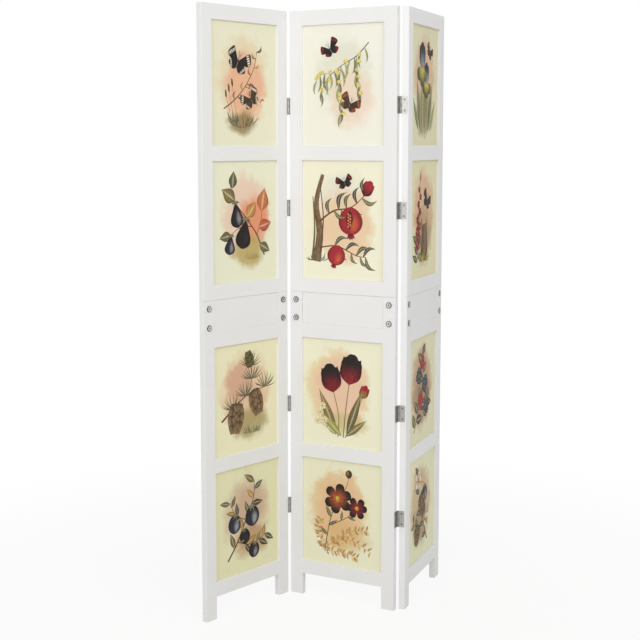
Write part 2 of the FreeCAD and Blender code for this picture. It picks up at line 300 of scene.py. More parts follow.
def picture_place(panel, number):
    """The middle of a picture's opening on its board's front face: X across, Z up, -Y outward."""
    along = panel_along(panel)
    outward = along.cross(Vector((0, 0, 1)))
    corners = [v.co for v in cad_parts[f"{panel}_panel_picture_board_{number}"].data.vertices]
    across = [corner.dot(along) for corner in corners]
    face = max(corner.dot(outward) for corner in corners)
    foot = min(corner.z for corner in corners) + FOOT_REACH
    top = max(corner.z for corner in corners) - TOP_REACH
    origin = along * (max(across) + min(across)) / 2 + outward * face
    origin.z = (foot + top) / 2
    width = max(across) - min(across) - 2 * SIDE_REACH
    place = Matrix.Translation(origin) @ Matrix.Rotation(panel_turn(panel), 4, "Z")
    return place, width, top - foot


# Painted wood


def brushed_paint(name, turn, upright):
    """Satin oil paint brushed over pine: even white with faint strokes and grain along the wood."""
    material, add = new_material(name)
    place = add("TexCoord").outputs["Object"]
    length, width = sizes().grain_length, sizes().grain_width
    grain = (width, width, length) if upright else (length, width, width)
    turned = {"Vector": place, "Rotation": (0, 0, turn), "Scale": grain}
    along = add("Mapping", turned, vector_type="TEXTURE")
    strokes = add("TexNoise", {"Vector": along, "Scale": 1.0, "Detail": 4.0})
    stipple = add("TexNoise", {"Vector": place, "Scale": 1 / sizes().roller_grain, "Detail": 2.0})
    patches = add("TexNoise", {"Vector": place, "Scale": PAINT_PATCHES_PER_METRE, "Detail": 3.0})
    thin = add("Math", {0: strokes, 1: patches}, operation="MULTIPLY")
    full, thin_paint_and_shaded_nickel = opaque(colours().paint), opaque(colours().paint_warm)
    colour = add("Mix", {MIX_SHARE: thin, MIX_FIRST: full, MIX_SECOND: thin_paint_and_shaded_nickel}, data_type="RGBA")
    gloss = add("MapRange", {"Value": strokes, "To Min": 0.34, "To Max": 0.5})
    fine = add("Bump", {"Height": stipple, "Distance": 0.05 * MM, "Strength": 0.35})
    ridges = {"Height": strokes, "Distance": 0.12 * MM, "Strength": 0.5, "Normal": fine}
    relief = add("Bump", ridges)
    finish = {"Base Color": colour, "Roughness": gloss, "Normal": relief, "IOR": 1.47}
    finish_material(add, finish)
    return material


class DIVIDER_OT_frame_paint(bpy.types.Operator):
    """Paints the stiles, the rails and the middle boards, the grain running along each"""

    bl_idname = "divider.frame_paint"
    bl_label = "Paint Frames"

    def execute(self, context):
        stile_paint = brushed_paint("satin_paint_on_stiles", 0, True)
        for panel in PANELS:
            rail_paint = brushed_paint(f"satin_paint_on_{panel}_rails", panel_turn(panel), False)
            for half in ("upper", "lower"):
                for side in ("left", "right"):
                    dress(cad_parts[f"{panel}_panel_{half}_{side}_stile"], stile_paint)
            for rail in RAIL_NAMES:
                dress(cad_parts[f"{panel}_panel_{rail}_rail"], rail_paint)
            dress(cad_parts[f"{panel}_panel_middle_board"], rail_paint)
        return {"FINISHED"}


# Metal fittings


def finish_metal(add, colour, spots, smoothest, roughest):
    """Metal whose gloss and relief follow its spots."""
    gloss = add("MapRange", {"Value": spots, "To Min": smoothest, "To Max": roughest})
    relief = add("Bump", {"Height": spots, "Distance": 0.02 * MM, "Strength": 0.4})
    finish = {"Base Color": colour, "Metallic": 1.0, "Roughness": gloss, "Normal": relief}
    finish_material(add, finish)


def plated_metal(name, colour, painted_reflection_dimming, smoothest, roughest, spacing):
    """Plated and tumbled metal: a soft lustre, broken by small spots of rougher gloss whose darker
    colour is painted mottled reflection.
    """
    material, add = new_material(name)
    place = add("TexCoord").outputs["Object"]
    spots = add("TexNoise", {"Vector": place, "Scale": 1 / spacing, "Detail": 3.0})
    # The darker spot colour is painted mottled reflection
    bright, painted_dark_reflection = opaque(colour), opaque([painted_reflection_dimming * part for part in colour])
    tone = add("Mix", {MIX_SHARE: spots, MIX_FIRST: bright, MIX_SECOND: painted_dark_reflection}, data_type="RGBA")
    finish_metal(add, tone, spots, smoothest, roughest)
    return material


def zinc_with_painted_reflection_and_shade(panel):
    """Zinc plate on turned bolt heads: bright flats, a painted dark reflection on the rounded rim
    and painted shade in the socket.
    """
    material, add = new_material(f"zinc_on_{panel}_bolt_heads")
    bolts = f"{panel}_panel_splice_bolts"
    along = panel_along(panel)
    across = [vertex.co.dot(along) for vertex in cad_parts[bolts].data.vertices]
    low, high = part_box(bolts)
    centre = along * (max(across) + min(across)) / 2
    centre.z = (low.z + high.z) / 2
    half_across = (max(across) - min(across)) / 2 - BOLT_HEAD_RADIUS
    half_up = (high.z - low.z) / 2 - BOLT_HEAD_RADIUS
    place = add("TexCoord").outputs["Object"]
    turned = {"Vector": place, "Location": centre, "Rotation": (0, 0, panel_turn(panel))}
    on_panel = add("Mapping", turned, vector_type="TEXTURE")
    one_corner = add("VectorMath", {0: on_panel}, operation="ABSOLUTE")
    to_bolt = {0: one_corner, 1: (half_across, 0, half_up)}
    from_bolt = add("VectorMath", to_bolt, operation="SUBTRACT")
    flat = add("VectorMath", {0: from_bolt, 1: (1, 0, 1)}, operation="MULTIPLY")
    radius = add("VectorMath", {0: flat}, operation="LENGTH")
    # Painted dark reflection on the rounded rim, then painted shade in the socket
    rim = add("MapRange", {"Value": radius, "From Min": RIM_REFLECTION_STARTS, "From Max": RIM_REFLECTION_FULL})
    socket_shade_reach = {"Value": radius, "From Min": SOCKET_SHADE_FULL, "From Max": SOCKET_SHADE_ENDS}
    socket = add("MapRange", {**socket_shade_reach, "To Min": 0.75, "To Max": 0.0})
    dark = add("Math", {0: rim, 1: socket}, operation="MAXIMUM")
    spots = add("TexNoise", {"Vector": place, "Scale": 1 / ZINC_SPOTS, "Detail": 3.0})
    zinc, edge = opaque(colours().zinc), opaque(colours().bolt_painted_shade_and_reflection)
    # The zinc darkened by the painted reflection on the rim and the painted shade in the socket
    tone = add("Mix", {MIX_SHARE: dark, MIX_FIRST: zinc, MIX_SECOND: edge}, data_type="RGBA")
    finish_metal(add, tone, spots, 0.26, 0.4)
    return material


class DIVIDER_OT_splice_fittings(bpy.types.Operator):
    """Gives the connector bolts and cap nuts their zinc plate"""

    bl_idname = "divider.splice_fittings"
    bl_label = "Finish Bolts and Nuts"

    def execute(self, context):
        zinc = plated_metal("zinc_plated_steel", colours().zinc, 0.6, 0.28, 0.42, ZINC_SPOTS)
        for panel in PANELS:
            dress(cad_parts[f"{panel}_panel_splice_bolts"], zinc_with_painted_reflection_and_shade(panel))
            dress(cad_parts[f"{panel}_panel_splice_nuts"], zinc)
        return {"FINISHED"}


class DIVIDER_OT_hinges(bpy.types.Operator):
    """Gives the hinge leaves and pins their satin nickel, darker on the middle panel as painted
    shade, and the screws their plated steel
    """

    bl_idname = "divider.hinges"
    bl_label = "Finish Hinges"

    def execute(self, context):
        nickel = plated_metal("satin_nickel", colours().nickel, 0.5, 0.3, 0.46, NICKEL_SPOTS)
        thin_paint_and_shaded_nickel = plated_metal("worn_nickel", colours().worn_nickel, 0.5, 0.32, 0.5, NICKEL_SPOTS)
        steel = plated_metal("plated_screw_steel", colours().steel, 0.6, 0.3, 0.4, STEEL_SPOTS)
        for name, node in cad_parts.items():
            if "hinge_leaves" in name or "hinge_pins" in name:
                # The middle panel's leaves and pins take the darker nickel, as painted shade
                dress(node, thin_paint_and_shaded_nickel if name.startswith("middle") else nickel)
            if "hinge_screws" in name:
                dress(node, steel)
        return {"FINISHED"}


# Picture boards and the printed film on them


def sealed_board():
    """Sealed hardboard: a flat cream face with fine pressed fibres."""
    material, add = new_material("sealed_hardboard")
    place = add("TexCoord").outputs["Object"]
    pressed = {"Vector": place, "Scale": 1 / FIBRES, "Detail": 5.0, "Roughness": 0.6}
    fibres = add("TexNoise", pressed)
    light, dark = opaque(colours().board), opaque([0.9 * part for part in colours().board])
    colour = add("Mix", {MIX_SHARE: fibres, MIX_FIRST: light, MIX_SECOND: dark}, data_type="RGBA")
    relief = add("Bump", {"Height": fibres, "Distance": 0.06 * MM, "Strength": 0.4})
    finish_material(add, {"Base Color": colour, "Roughness": 0.62, "Normal": relief})
    return material


def printed_film(name, ground, washes):
    """Matt printed film: a cream ground with a soft-edged wash of colour, finely grained."""
    material, add = new_material(name)
    film = add("UVMap", uv_map="UVMap")
    place = add("TexCoord").outputs["Object"]
    blots = add("TexNoise", {"Vector": place, "Scale": 1 / PRINT_BLOTS, "Detail": 4.0})
    dabs = add("TexNoise", {"Vector": place, "Scale": 1 / PRINT_DABS, "Detail": 3.0})
    grain = add("TexNoise", {"Vector": place, "Scale": 1 / sizes().print_grain, "Detail": 2.0})
    colour = opaque(linear(ground))
    for (x, z), reach, code, strength, softness in washes:
        spot = {"Vector": film, "Location": (0.5 + x, 0.5 + z, 0), "Scale": (*reach, 1)}
        oval = add("Mapping", spot, vector_type="TEXTURE")
        distance = add("VectorMath", {0: oval}, operation="LENGTH")
        wander = add("Math", {0: blots, 1: 0.6, 2: distance}, operation="MULTIPLY_ADD")
        ragged = add("Math", {0: dabs, 1: 0.2, 2: wander}, operation="MULTIPLY_ADD")
        ends = {"From Min": WASH_EDGE - softness, "From Max": WASH_EDGE}
        fade = {"Value": ragged, **ends, "To Min": strength, "To Max": 0.0}
        share = add("MapRange", fade, interpolation_type="SMOOTHSTEP")
        wash = {MIX_SHARE: share, MIX_FIRST: colour, MIX_SECOND: opaque(linear(code))}
        colour = add("Mix", wash, data_type="RGBA")
    uneven = {"Value": grain, "From Min": 0.3, "From Max": 0.7, "To Min": 0.95, "To Max": 1.02}
    shaded = {MIX_SHARE: 1.0, MIX_FIRST: colour, MIX_SECOND: add("MapRange", uneven)}
    printed = add("Mix", shaded, data_type="RGBA", blend_type="MULTIPLY")
    relief = add("Bump", {"Height": grain, "Distance": 0.03 * MM, "Strength": 0.4})
    finish = {"Base Color": printed, "Roughness": 0.55, "Specular IOR Level": PRINT_SHINE}
    finish_material(add, {**finish, "Normal": relief})
    return material


def film_sheet(name, width, height):
    """A thin upright sheet behind the frame's edge, with the picture's map across its front."""
    deselect()
    bpy.ops.mesh.primitive_grid_add(x_subdivisions=6, y_subdivisions=8, size=1)
    film = bpy.context.object
    bpy.ops.object.mode_set(mode="EDIT")
    bpy.ops.mesh.select_all(action="SELECT")
    bpy.ops.transform.resize(value=(width, height, 1))
    bpy.ops.mesh.extrude_region_move(
        TRANSFORM_OT_translate={"value": (0, 0, sizes().print_thickness)}
    )
    bpy.ops.mesh.select_all(action="SELECT")
    bpy.ops.mesh.normals_make_consistent(inside=False)
    bpy.ops.object.mode_set(mode="OBJECT")
    film.rotation_euler = (math.radians(90), 0, 0)
    bpy.ops.object.transform_apply(location=True, rotation=True, scale=True)
    film.name = name
    return film


class DIVIDER_OT_prints(bpy.types.Operator):
    """Seals the picture boards and lays the printed film on each"""

    bl_idname = "divider.prints"
    bl_label = "Lay Prints"

    def execute(self, context):
        board = sealed_board()
        for panel in PANELS:
            for number in PICTURE_NUMBERS:
                dress(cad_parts[f"{panel}_panel_picture_board_{number}"], board)
                place, width, height = picture_place(panel, number)
                name = f"{panel}_picture_{number}_print"
                margin = 2 * sizes().print_margin
                film = film_sheet(name, width + margin, height + margin)
                film.data.transform(place)
                _, ground, *washes = PICTURES[panel, number]
                dress(film, printed_film(f"{panel}_print_{number}", ground, washes))
                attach(film, f"{panel}_panel")
        return {"FINISHED"}


# Inks of the drawn plants and insects: each copy carries its two colours, tint and second


def ink_start(name):
    """A material with the copy's two colours and its own map at hand."""
    material, add = new_material(name)
    tint = add("Attribute", attribute_name="tint")
    second = add("Attribute", attribute_name="second")
    spread = add("SeparateXYZ", {0: add("UVMap", uv_map="UVMap")}).outputs
    centred = add("Math", {0: spread["X"], 1: 2.0, 2: -1.0}, operation="MULTIPLY_ADD")
    edge = add("Math", {0: centred}, operation="ABSOLUTE")
    place = add("TexCoord").outputs["Object"]
    mottle = add("TexNoise", {"Vector": place, "Scale": 1 / INK_MOTTLE, "Detail": 4.0})
    return material, add, tint, second, edge, spread["Y"], mottle


def ink_finish(add, colour, edge, mottle):
    """Darkens a shape towards its rim, mottles it as a print does, and makes it matt."""
    inwards = {"Value": edge, "From Min": 0.55, "From Max": 1.0, "To Min": 1.0, "To Max": 0.62}
    rim = add("MapRange", inwards)
    patchy = {"Value": mottle, "From Min": 0.3, "From Max": 0.7, "To Min": 0.8, "To Max": 1.15}
    shade = add("Math", {0: rim, 1: add("MapRange", patchy)}, operation="MULTIPLY")
    shaded = {MIX_SHARE: 1.0, MIX_FIRST: colour, MIX_SECOND: shade}
    drawn = add("Mix", shaded, data_type="RGBA", blend_type="MULTIPLY")
    matt = {"Base Color": drawn, "Roughness": 0.6, "Specular IOR Level": PRINT_SHINE}
    finish_material(add, matt)


def leaf_ink():
    """Printed leaf: a light midrib, slanting side veins and a turned tip colour."""
    material, add, tint, second, edge, rise, mottle = ink_start("leaf_ink")
    turning = add("Math", {0: rise, 1: mottle}, operation="MULTIPLY")
    tipped = add("Mix", {MIX_SHARE: turning, MIX_FIRST: tint, MIX_SECOND: second}, data_type="RGBA")
    slant = add("Math", {0: edge, 1: -0.22, 2: rise}, operation="MULTIPLY_ADD")
    veins = add("Math", {0: slant, 1: LEAF_VEINS * math.tau}, operation="MULTIPLY")
    wave = add("Math", {0: veins}, operation="SINE")
    thin = add("MapRange", {"Value": wave, "From Min": 0.75, "From Max": 1.0, "To Max": 0.22})
    centre = {"Value": edge, "From Min": 0.06, "From Max": 0.22, "To Min": 0.5, "To Max": 0.0}
    lines = add("Math", {0: thin, 1: add("MapRange", centre)}, operation="MAXIMUM")
    bone = opaque(colours().bone)
    veined = add("Mix", {MIX_SHARE: lines, MIX_FIRST: tipped, MIX_SECOND: bone}, data_type="RGBA")
    ink_finish(add, veined, edge, mottle)
    return material


def bloom_ink():
    """Printed petal: the second colour glows at the base and streaks toward the tip."""
    material, add, tint, second, edge, rise, mottle = ink_start("bloom_ink")
    glow = {"Value": rise, "From Min": 0.05, "From Max": 0.75, "To Min": 0.95, "To Max": 0.0}
    base = add("MapRange", glow, interpolation_type="SMOOTHSTEP")
    streaked = add("Math", {0: base, 1: mottle}, operation="MULTIPLY")
    share = add("Math", {0: streaked, 1: 1.8}, operation="MULTIPLY", use_clamp=True)
    mixed = add("Mix", {MIX_SHARE: share, MIX_FIRST: tint, MIX_SECOND: second}, data_type="RGBA")
    ink_finish(add, mixed, edge, mottle)
    return material


def fruit_ink():
    """Printed fruit: dark skin with the second colour as a bloom of light on the shoulder."""
    material, add, tint, second, edge, _, mottle = ink_start("fruit_ink")
    shoulder = {"Location": (0.34, 0.6, 0), "Scale": (0.3, 0.34, 1)}
    spot = {"Vector": add("UVMap", uv_map="UVMap"), **shoulder}
    glow = add("Mapping", spot, vector_type="TEXTURE")
    distance = add("VectorMath", {0: glow}, operation="LENGTH")
    fade = {"Value": distance, "To Min": 0.75, "To Max": 0.0}
    share = add("MapRange", fade, interpolation_type="SMOOTHSTEP")
    mixed = add("Mix", {MIX_SHARE: share, MIX_FIRST: tint, MIX_SECOND: second}, data_type="RGBA")
    ink_finish(add, mixed, edge, mottle)
    return material


def wing_ink():
    """Printed wing: fine radiating veins on a dark ground, with a broken band near the rim."""
    material, add, tint, second, edge, rise, mottle = ink_start("wing_ink")
    far = add("Math", {0: rise, 1: 0.66}, operation="SUBTRACT")
    near_band = add("Math", {0: far}, operation="ABSOLUTE")
    soft = {"Value": near_band, "From Min": 0.06, "From Max": 0.13, "To Min": 1.0, "To Max": 0.0}
    band = add("MapRange", soft)
    spaced = add("Math", {0: edge, 1: WING_CELLS * math.tau}, operation="MULTIPLY")
    wave = add("Math", {0: spaced}, operation="COSINE")
    cells = add("MapRange", {"Value": wave, "From Min": -0.7, "From Max": 0.1})
    spots = add("Math", {0: band, 1: cells}, operation="MULTIPLY")
    mixed = add("Mix", {MIX_SHARE: spots, MIX_FIRST: tint, MIX_SECOND: second}, data_type="RGBA")
    ink_finish(add, mixed, edge, mottle)
    return material


def twig_ink():
    """Printed bark: short streaks of dark and light, with no map of its own."""
    material, add = new_material("twig_ink")
    tint = add("Attribute", attribute_name="tint")
    second = add("Attribute", attribute_name="second")
    place = add("TexCoord").outputs["Object"]
    along = add("Mapping", {"Vector": place, "Scale": BARK_STREAKS}, vector_type="TEXTURE")
    streaks = add("TexNoise", {"Vector": along, "Scale": 1.0, "Detail": 4.0, "Distortion": 1.2})
    share = add("MapRange", {"Value": streaks, "From Min": 0.32, "From Max": 0.68})
    mixed = add("Mix", {MIX_SHARE: share, MIX_FIRST: tint, MIX_SECOND: second}, data_type="RGBA")
    matt = {"Base Color": mixed, "Roughness": 0.6, "Specular IOR Level": PRINT_SHINE}
    finish_material(add, matt)
    return material


# Shapes that the pictures are drawn with, each one unit long and modelled once.
# An outline's rows are height, width and sideways place, from the shape's base to its tip.

OUTLINES = {
    "leaf": [
        (0.0, 0.05, 0.0), (0.1, 0.42, 0.0), (0.26, 0.86, 0.0), (0.42, 1.0, 0.0), (0.6, 0.84, 0.0),
        (0.78, 0.48, 0.0), (0.91, 0.18, 0.0), (1.0, 0.0, 0.0),
    ],
    "sickle": [
        (0.0, 0.12, 0.0), (0.12, 0.6, 0.25), (0.3, 0.96, 0.72), (0.48, 1.0, 0.98),
        (0.66, 0.84, 0.95), (0.82, 0.5, 0.6), (0.93, 0.22, 0.2), (1.0, 0.0, -0.1),
    ],
    "scale": [
        (0.0, 0.4, 0.0), (0.25, 0.9, 0.0), (0.5, 1.0, 0.0), (0.75, 0.66, 0.0), (1.0, 0.0, 0.0)
    ],
    "petal": [
        (0.0, 0.14, 0.0), (0.14, 0.36, 0.0), (0.34, 0.7, 0.0), (0.56, 0.96, 0.0), (0.76, 1.0, 0.0),
        (0.92, 0.72, 0.0), (1.0, 0.3, 0.0),
    ],
    "fruit": [
        (0.0, 0.1, 0.0), (0.06, 0.42, 0.0), (0.2, 0.76, 0.0), (0.4, 0.97, 0.0), (0.6, 1.0, 0.0),
        (0.8, 0.82, 0.0), (0.94, 0.46, 0.0), (1.0, 0.1, 0.0),
    ],
    "pear": [
        (0.0, 0.1, 0.0), (0.1, 0.24, 0.0), (0.26, 0.42, 0.0), (0.44, 0.72, 0.0), (0.62, 0.97, 0.0),
        (0.78, 1.0, 0.0), (0.92, 0.7, 0.0), (1.0, 0.16, 0.0),
    ],
    "fore_wing": [
        (0.0, 0.1, 0.0), (0.18, 0.4, 0.06), (0.4, 0.66, 0.12), (0.62, 0.9, 0.16), (0.8, 1.0, 0.16),
        (0.93, 0.84, 0.06), (1.0, 0.3, -0.16),
    ],
    "hind_wing": [
        (0.0, 0.14, 0.0), (0.16, 0.62, 0.0), (0.38, 0.94, 0.04), (0.6, 1.0, 0.04),
        (0.78, 0.84, 0.0), (0.9, 0.5, -0.06), (1.0, 0.12, -0.14),
    ],
}
# Each shape's outline, columns, and rows to a step of the outline. The first five repeat
# hundreds of times and stay coarse, the rest are drawn large and are smooth.
SHAPES = {
    "leaf": ("leaf", 2, 1),
    "sickle": ("sickle", 2, 1),
    "petal": ("petal", 4, 1),
    "scale": ("scale", 2, 1),
    "berry": ("fruit", 4, 1),
    "blade": ("leaf", 6, 3),
    "broad_petal": ("petal", 6, 3),
    "fruit": ("fruit", 12, 3),
    "pear": ("pear", 12, 3),
    "fore_wing": ("fore_wing", 6, 3),
    "hind_wing": ("hind_wing", 6, 3),
}


def drawn_shape(name, outline, columns, steps):
    """A low crowned shape with a flat back: a grid whose rows are drawn in to the outline."""
    outline = smooth_line(outline, steps)
    rows = len(outline) - 1
    deselect()
    bpy.ops.mesh.primitive_grid_add(x_subdivisions=columns, y_subdivisions=rows, size=1)
    shape = bpy.context.object
    bpy.ops.object.mode_set(mode="EDIT")
    bpy.ops.mesh.select_mode(type="VERT")
    for column in range(columns + 1):
        across = column / columns - 0.5
        pick(shape, lambda place: abs(place.x - across) < NEAR)
        bpy.ops.transform.translate(value=(0, 0, 1 - 3 * across * across))
    for row in range(rows, -1, -1):
        height, width, sideways = outline[row]
        level = row / rows - 0.5
        # A pointed tip runs down to the film, so that it closes with no face left inside it
        crown = 0.3 + 0.7 * width if width > 0 else 0
        pick(shape, lambda place: abs(place.y - level) < NEAR)
        bpy.ops.transform.resize(value=(width, 1, crown), center_override=(0, level, 0))
        bpy.ops.transform.translate(value=(sideways, height - level, 0))
    bpy.ops.mesh.select_all(action="SELECT")
    bpy.ops.mesh.extrude_region_move(TRANSFORM_OT_translate={"value": (0, 0, -0.01)})
    bpy.ops.transform.resize(value=(1, 1, 0), center_override=(0, 0, 0))
    bpy.ops.mesh.select_all(action="SELECT")
    bpy.ops.mesh.remove_doubles(threshold=0.001)
    bpy.ops.mesh.normals_make_consistent(inside=False)
    bpy.ops.object.mode_set(mode="OBJECT")
    shape.rotation_euler = (math.radians(90), 0, 0)
    bpy.ops.object.transform_apply(location=True, rotation=True, scale=True)
    bpy.ops.object.shade_smooth_by_angle(angle=math.radians(50))
    shape.name = f"drawn_{name}"
    return shape


def colour_mesh(mesh, tint, second):
    """Writes a copy's two colours on its mesh."""
    for name, colour in (("tint", tint), ("second", second)):
        layer = mesh.attributes.new(name, "FLOAT_COLOR", "POINT")
        layer.data.foreach_set("color", list(opaque(colour)) * len(mesh.vertices))


def smooth_line(points, steps=7):
    """Places along a smooth line through a few points, so many steps from one to the next."""
    ends = [points[0], *points, points[-1]]
    line = []
    for a, b, c, d in zip(ends, ends[1:], ends[2:], ends[3:]):
        for step in range(steps):
            t = step / steps
            line.append(
                tuple(
                    0.5
                    * (
                        2 * q
                        + (r - p) * t
                        + (2 * p - 5 * q + 4 * r - s) * t * t
                        + (3 * q - p - 3 * r + s) * t**3
                    )
                    for p, q, r, s in zip(a, b, c, d)
                )
            )
    return line + [tuple(float(part) for part in points[-1])]


class Drawing:
    """One picture's drawn shapes, gathered by ink. Places and lengths here are in millimetres."""

    def __init__(self, panel, number, masters):
        self.name = f"{panel}_picture_{number}"
        self.body = f"{panel}_panel"
        self.place = picture_place(panel, number)[0]
        self.masters = masters
        self.chance = random.Random(f"{panel} {number}")
        self.groups = {"twigs": [], "leaves": [], "blooms": [], "fruit": [], "wings": []}
        self.count = 0

    def ink(self, name):
        """A named ink, a little lighter or darker each time."""
        strength = self.chance.uniform(0.86, 1.14)
        return [min(1.0, part * strength) for part in getattr(colours(), name)]

    def lay(self, group, shape, at, size, turn, tint, second, flip=False, lift=0.0):
        """Lays a copy of a shape: at its base point, its length and width, and leaning by turn."""
        rise = sizes().leaf_rise if group == "leaves" else sizes().bloom_rise
        copy = self.masters[shape].copy()
        copy.data = self.masters[shape].data.copy()
        bpy.context.scene.collection.objects.link(copy)
        self.count += 1
        front = sizes().print_thickness + DEPTH_STEP * (self.count % DEPTHS)
        length, width = size[0] * MM, size[1] * MM * (-1 if flip else 1)
        copy.data.transform(
            self.place
            @ Matrix.Translation((at[0] * MM, -front - lift * MM, at[1] * MM))
            @ Matrix.Rotation(math.radians(turn), 4, "Y")
            @ Matrix.Diagonal((width, rise, length, 1))
        )
        if flip:
            copy.data.flip_normals()
        colour_mesh(copy.data, self.ink(tint), self.ink(second))
        self.groups[group].append(copy)

    def twig(self, points, thick, thin, tint="twig", second="umber"):
        """A tapering twig along a smooth line, low on the film."""
        line = smooth_line(points)
        deselect()
        bpy.ops.curve.primitive_nurbs_path_add()
        twig = bpy.context.object
        twig.data.splines.clear()
        spline = twig.data.splines.new("POLY")
        spline.points.add(len(line) - 1)
        for number, (point, (x, z)) in enumerate(zip(spline.points, line)):
            share = number / (len(line) - 1)
            point.co = (x * MM, 0, z * MM, 1)
            point.radius = thick + (thin - thick) * share
        twig.data.bevel_depth = MM / 2
        twig.data.bevel_resolution = 1
        twig.data.use_fill_caps = True
        bpy.ops.object.convert(target="MESH")
        twig = bpy.context.object
        flat = Matrix.Diagonal((1, 2 * sizes().stem_rise / (thick * MM), 1, 1))
        front = Matrix.Translation((0, -sizes().print_thickness, 0))
        twig.data.transform(self.place @ front @ flat)
        for layer in list(twig.data.uv_layers):
            twig.data.uv_layers.remove(layer)
        colour_mesh(twig.data, self.ink(tint), self.ink(second))
        self.groups["twigs"].append(twig)
        return line

    def leaf_row(self, line, first, last, count, size, tints, spread, shape="leaf", hang=None):
        """Leaves by turns on either side of a line, or all hanging at one lean."""
        for number in range(count):
            share = first + (last - first) * number / max(1, count - 1)
            step = min(int(share * (len(line) - 1)), len(line) - 2)
            here, ahead = line[step], line[step + 1]
            lean = math.degrees(math.atan2(ahead[0] - here[0], ahead[1] - here[1]))
            side = 1 if number % 2 else -1
            turn = lean + side * spread if hang is None else hang
            turn += self.chance.uniform(-12, 12)
            scale = self.chance.uniform(0.78, 1.15)
            leaf = (size[0] * scale, size[1] * scale)
            second = self.chance.choice(tints)
            tint = tints[number % len(tints)]
            self.lay("leaves", shape, here, leaf, turn, tint, second, flip=side < 0)

    def tuft(self, at, width, count, height, tints):
        """A tuft of grass blades, fanned out from its foot."""
        for number in range(count):
            share = number / (count - 1) - 0.5
            foot = (at[0] + share * width * 0.55, at[1] + abs(share) * height * 0.25)
            blade = (height * self.chance.uniform(0.5, 1.1), height * 0.075)
            turn = share * 100 + self.chance.uniform(-14, 14)
            tint, second = self.chance.choice(tints), self.chance.choice(tints)
            self.lay("leaves", "sickle", foot, blade, turn, tint, second, flip=share < 0)

    def butterfly(self, at, span, turn, tint, second, near, far):
        """An open butterfly: two hind wings, two fore wings, a body and its feelers."""
        for shape, length, width, lean, share in (
            ("hind_wing", 0.36, 0.27, -118, far),
            ("hind_wing", 0.36, 0.27, 118, near),
            ("fore_wing", 0.5, 0.3, -52, far),
            ("fore_wing", 0.5, 0.3, 52, near),
        ):
            wing = (span * length * share, span * width)
            self.lay("wings", shape, at, wing, turn + lean, tint, second, lean < 0, lift=0.3)
        up = math.radians(turn)
        tail = Matrix.Rotation(up, 2) @ Vector((0, -0.18 * span))
        foot, body = (at[0] - tail.x, at[1] + tail.y), (0.34 * span, 0.055 * span)
        self.lay("leaves", "leaf", foot, body, turn, "soot", "umber", lift=0.75)
        head = (at[0] + math.sin(up) * 0.13 * span, at[1] + math.cos(up) * 0.13 * span)
        feeler = (0.2 * span, 0.012 * span)
        for lean in (-16, 16):
            self.lay("leaves", "sickle", head, feeler, turn + lean, "soot", "soot", lean < 0, 0.7)

    def hanging(self, at, size, turn, tint, second, shape="fruit"):
        """A fruit that hangs from its base point, with small sepals round it."""
        self.lay("fruit", shape, at, size, turn, tint, second, lift=0.1)
        sepal = (size[1] * 0.34, size[1] * 0.13)
        for lean in (-70, -25, 25, 70):
            self.lay("leaves", "leaf", at, sepal, turn + lean, "olive", "umber", lift=0.55)

    def cone(self, at, size, turn, tip="bark"):
        """A closed cone: rows of overlapping scales, laid from its tip back to its stalk."""
        length, width = size
        self.lay("fruit", "fruit", at, size, turn, "soot", "umber")
        lean = math.radians(turn)
        for row in range(CONE_ROWS, 0, -1):
            share = row / (CONE_ROWS + 0.6)
            reach = width * 0.44 * math.sin(math.pi * (0.16 + 0.76 * share))
            number = 4 if row % 2 else 3
            for place in range(number):
                side = 2 * place / (number - 1) - 1
                x = side * reach * 0.9
                z = length * (share - 0.2 + 0.04 * abs(side))
                foot = (
                    at[0] + x * math.cos(lean) + z * math.sin(lean),
                    at[1] - x * math.sin(lean) + z * math.cos(lean),
                )
                scale, lift = (length * 0.3, width * 0.36), 0.2 + 0.06 * (CONE_ROWS - row)
                self.lay("blooms", "scale", foot, scale, turn + side * 24, tip, "umber", lift=lift)

    def blossom(self, at, size, petals, turn, tint, second):
        """An open flower: petals round a seed head."""
        shape = "broad_petal" if size > BROAD_BLOSSOM else "petal"
        petal, eye = (size / 2, size * 1.9 / petals), size * 0.2
        for number in range(petals):
            lean = turn + 360 * number / petals + self.chance.uniform(-6, 6)
            self.lay("blooms", shape, at, petal, lean, tint, second, lift=0.1)
        foot = (at[0], at[1] - eye / 2)
        self.lay("fruit", "berry", foot, (eye, eye), 0, "ochre", "yellow", lift=0.5)

    def cup(self, at, size, turn, tint, second):
        """A cupped flower: two side petals and one behind, then a pair in front."""
        for shape, lean, share, lift in (
            ("blade", -20, 0.94, 0.0), ("blade", 20, 0.94, 0.05), ("broad_petal", 0, 1.0, 0.15),
            ("broad_petal", -11, 0.9, 0.3), ("broad_petal", 12, 0.88, 0.4),
        ):
            petal = (size[0] * share, size[1] * 0.62)
            self.lay("blooms", shape, at, petal, turn + lean, tint, second, lift=lift)

    def cluster(self, at, spread, count, size, tint, second):
        """Berries or small round flowers, packed in a spiral from the middle out."""
        for number in range(count):
            reach = spread * math.sqrt((number + 0.5) / count)
            lean = number * math.radians(SEED_SPIRAL)
            scale = size * self.chance.uniform(0.85, 1.15)
            foot = (at[0] + reach * math.cos(lean), at[1] + reach * math.sin(lean) - scale / 2)
            turn = self.chance.uniform(-20, 20)
            self.lay("fruit", "berry", foot, (scale, scale), turn, tint, second, lift=0.2)

    def finish(self, inks):
        """Joins what was drawn with each ink into one piece, on its panel."""
        for group, parts in self.groups.items():
            if parts:
                piece = join(parts, f"{self.name}_{group}")
                dress(piece, inks[group])
                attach(piece, self.body)


# What is drawn in each picture. Places are millimetres from its middle, across and up.


